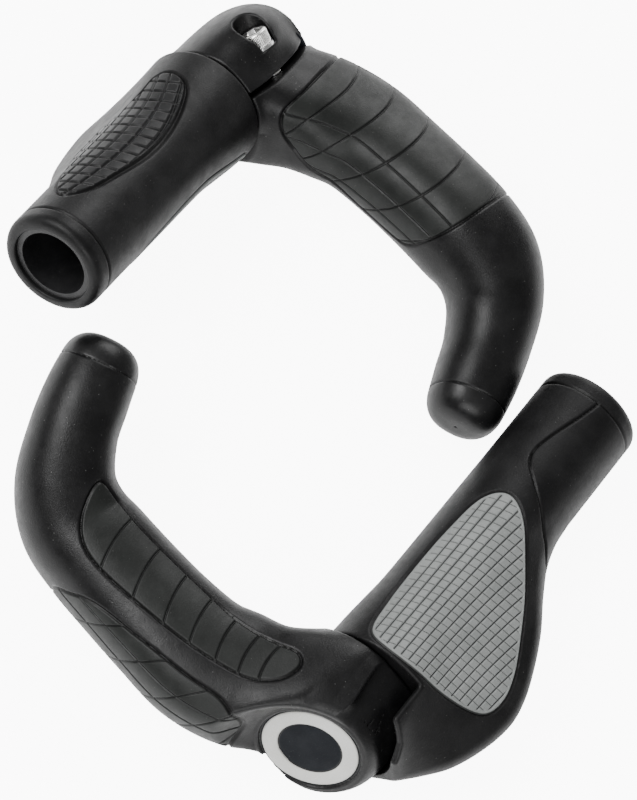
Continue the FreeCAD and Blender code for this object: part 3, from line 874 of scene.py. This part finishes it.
AXIS = 0.01  # radius where a profile meets its axis
CAP_PROFILE = (
    (AXIS, 0.0), (5.0, 0.02), (9.4, 0.03), (9.9, -0.02), (10.15, -0.3), (10.2, -0.42),
    (15.3, -0.42), (15.35, -0.3), (15.42, 0.0), (15.55, 0.08), (15.74, -0.05), (15.8, -0.35),
    (15.8, -2.6), (AXIS, -2.6),
)
RING_PROFILE = (
    (10.25, -0.4), (10.25, 0.1), (10.4, 0.32), (10.75, 0.42), (12.7, 0.46), (14.7, 0.42),
    (15.1, 0.32), (15.25, 0.1), (15.25, -0.4), (10.25, -0.4),
)
KNURL_TEETH = 48
HEX_CORNER = 2.31
HEX_FLAT = 2.0
HEX_DEPTH = 2.8
THREAD_START = 7.5
THREAD_PITCH = 0.8
THREAD_ROOT = 2.12


def screw_profile():
    """(radius, height) points of the screw; height runs from the head's face to the thread."""
    seat = HEAD_HEIGHT - 0.04
    points = [(AXIS, HEX_DEPTH), (HEX_CORNER, HEX_DEPTH), (HEX_CORNER, 0.25),
              (HEX_CORNER + 0.25, 0.0), (3.35, 0.0), (3.75, 0.08), (4.05, 0.3), (4.2, 0.62),
              (HEAD_RADIUS, 0.8), (HEAD_RADIUS, 4.5), (4.1, 4.85), (3.95, seat),
              (SCREW_RADIUS, seat), (SCREW_RADIUS, THREAD_START)]
    length = SCREW_END - HEAD_START
    height = THREAD_START
    while height < length - 0.5:
        points += [(SCREW_RADIUS, height + 0.1), (THREAD_ROOT, height + THREAD_PITCH / 2),
                   (SCREW_RADIUS, height + THREAD_PITCH - 0.1)]
        height += THREAD_PITCH
    return points + [(1.9, length), (AXIS, length)]


def screw_shape():
    profile = screw_profile()

    def ripple(i, reach, angles):
        radius, height = profile[i]
        if i in (1, 2):
            wedge = (angles + math.pi / 6) % (math.pi / 3) - math.pi / 6
            return HEX_FLAT / np.cos(wedge)
        if 0.7 < height < 4.6 and radius > 4:
            return reach - 0.13 * (0.5 + 0.5 * np.cos(angles * KNURL_TEETH))
        return reach

    return lathe(profile, SCREW_BASE + SCREW_AXIS * HEAD_START, SCREW_AXIS, 384, ripple)


for side in ("left", "right"):
    v, q = lathe(CAP_PROFILE, DISC_CENTRE, DISC_NORMAL)
    add_piece(f"{side}_end_cap_look", side, f"{side}_bar_end",
              LOOKS["cap_plastic"], v, q[:, ::-1], [f"{side}_end_cap"])
    v, q = lathe(RING_PROFILE, DISC_CENTRE, DISC_NORMAL)
    add_piece(f"{side}_end_cap_ring_look", side, f"{side}_bar_end",
              LOOKS["ring_plastic"], v, q[:, ::-1], [f"{side}_end_cap_ring"])
    v, q = screw_shape()
    add_piece(f"{side}_clamp_screw_look", side, f"{side}_screw",
              LOOKS["screw_steel"], v, q, [f"{side}_clamp_screw"])

for name, slot in (("grip_sleeve", "core_plastic"), ("clamp_shim", "shim_metal"),
                   ("threaded_insert", "insert_brass"), ("screw_washer", "washer_steel")):
    for side in ("left", "right"):
        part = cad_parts[f"{side}_{name}"]
        part.data.materials.clear()
        part.data.materials.append(LOOKS[slot])


# ---- camera, lights and floor --------------------------------------------------------------------

FLOOR_GLOW = 9.0
FLOOR_SHEEN = 1.1


def pale_floor():
    bpy.ops.mesh.primitive_plane_add(size=6, location=(0, 0, -0.0006))
    floor = bpy.context.object
    floor.name = "floor"
    material = bpy.data.materials.new("floor")
    material.use_nodes = True
    shader = material.node_tree.nodes["Principled BSDF"]
    shader.inputs["Base Color"].default_value = (0.93, 0.93, 0.93, 1)
    shader.inputs["Roughness"].default_value = 0.9
    shader.inputs["Emission Color"].default_value = (1, 1, 1, 1)
    tree = material.node_tree
    path = tree.nodes.new("ShaderNodeLightPath")
    glow = node(tree, "ShaderNodeMath", operation="MULTIPLY")
    glow.inputs[1].default_value = FLOOR_GLOW
    sheen = node(tree, "ShaderNodeMath", operation="MULTIPLY_ADD")
    sheen.inputs[1].default_value = FLOOR_SHEEN
    tree.links.new(path.outputs["Is Camera Ray"], glow.inputs[0])
    tree.links.new(path.outputs["Is Glossy Ray"], sheen.inputs[0])
    tree.links.new(glow.outputs[0], sheen.inputs[2])
    tree.links.new(sheen.outputs[0], shader.inputs["Emission Strength"])
    floor.data.materials.append(material)


def area_light(name, place, target, size, watts):
    data = bpy.data.lights.new(name, "AREA")
    data.shape = "RECTANGLE"
    data.size, data.size_y = size
    data.energy = watts
    light = bpy.data.objects.new(name, data)
    light.location = place
    light.rotation_mode = "QUATERNION"
    light.rotation_quaternion = (Vector(target) - Vector(place)).to_track_quat("-Z", "Y")
    bpy.context.scene.collection.objects.link(light)


pale_floor()
CAMERA_PLACE = (-0.38073, -0.08928, 0.94227)
CAMERA_ROWS = ((0.59364, -0.78547, 0.17500), (0.70684, 0.61290, 0.35319),
               (-0.38468, -0.08597, 0.91904))
camera_data = bpy.data.cameras.new("camera")
camera_data.lens = 142.9
camera_data.clip_start, camera_data.clip_end = 0.05, 20
camera = bpy.data.objects.new("camera", camera_data)
bpy.context.scene.collection.objects.link(camera)
camera.matrix_world = Matrix.Translation(CAMERA_PLACE) @ Matrix(CAMERA_ROWS).transposed().to_4x4()
bpy.context.scene.camera = camera

area_light("overhead", (-0.35, 0.6, 1.1), (0, 0, 0), (0.9, 0.6), 17)
area_light("window", (-1.0, -0.55, 0.75), (0, 0, 0.02), (0.7, 0.7), 9)
area_light("rim", (0.9, 0.3, 0.5), (0, 0, 0.02), (0.5, 0.8), 6)

world = bpy.data.worlds.new("world")
world.use_nodes = True
world.node_tree.nodes["Background"].inputs["Color"].default_value = (1, 1, 1, 1)
world.node_tree.nodes["Background"].inputs["Strength"].default_value = 0.32
bpy.context.scene.world = world
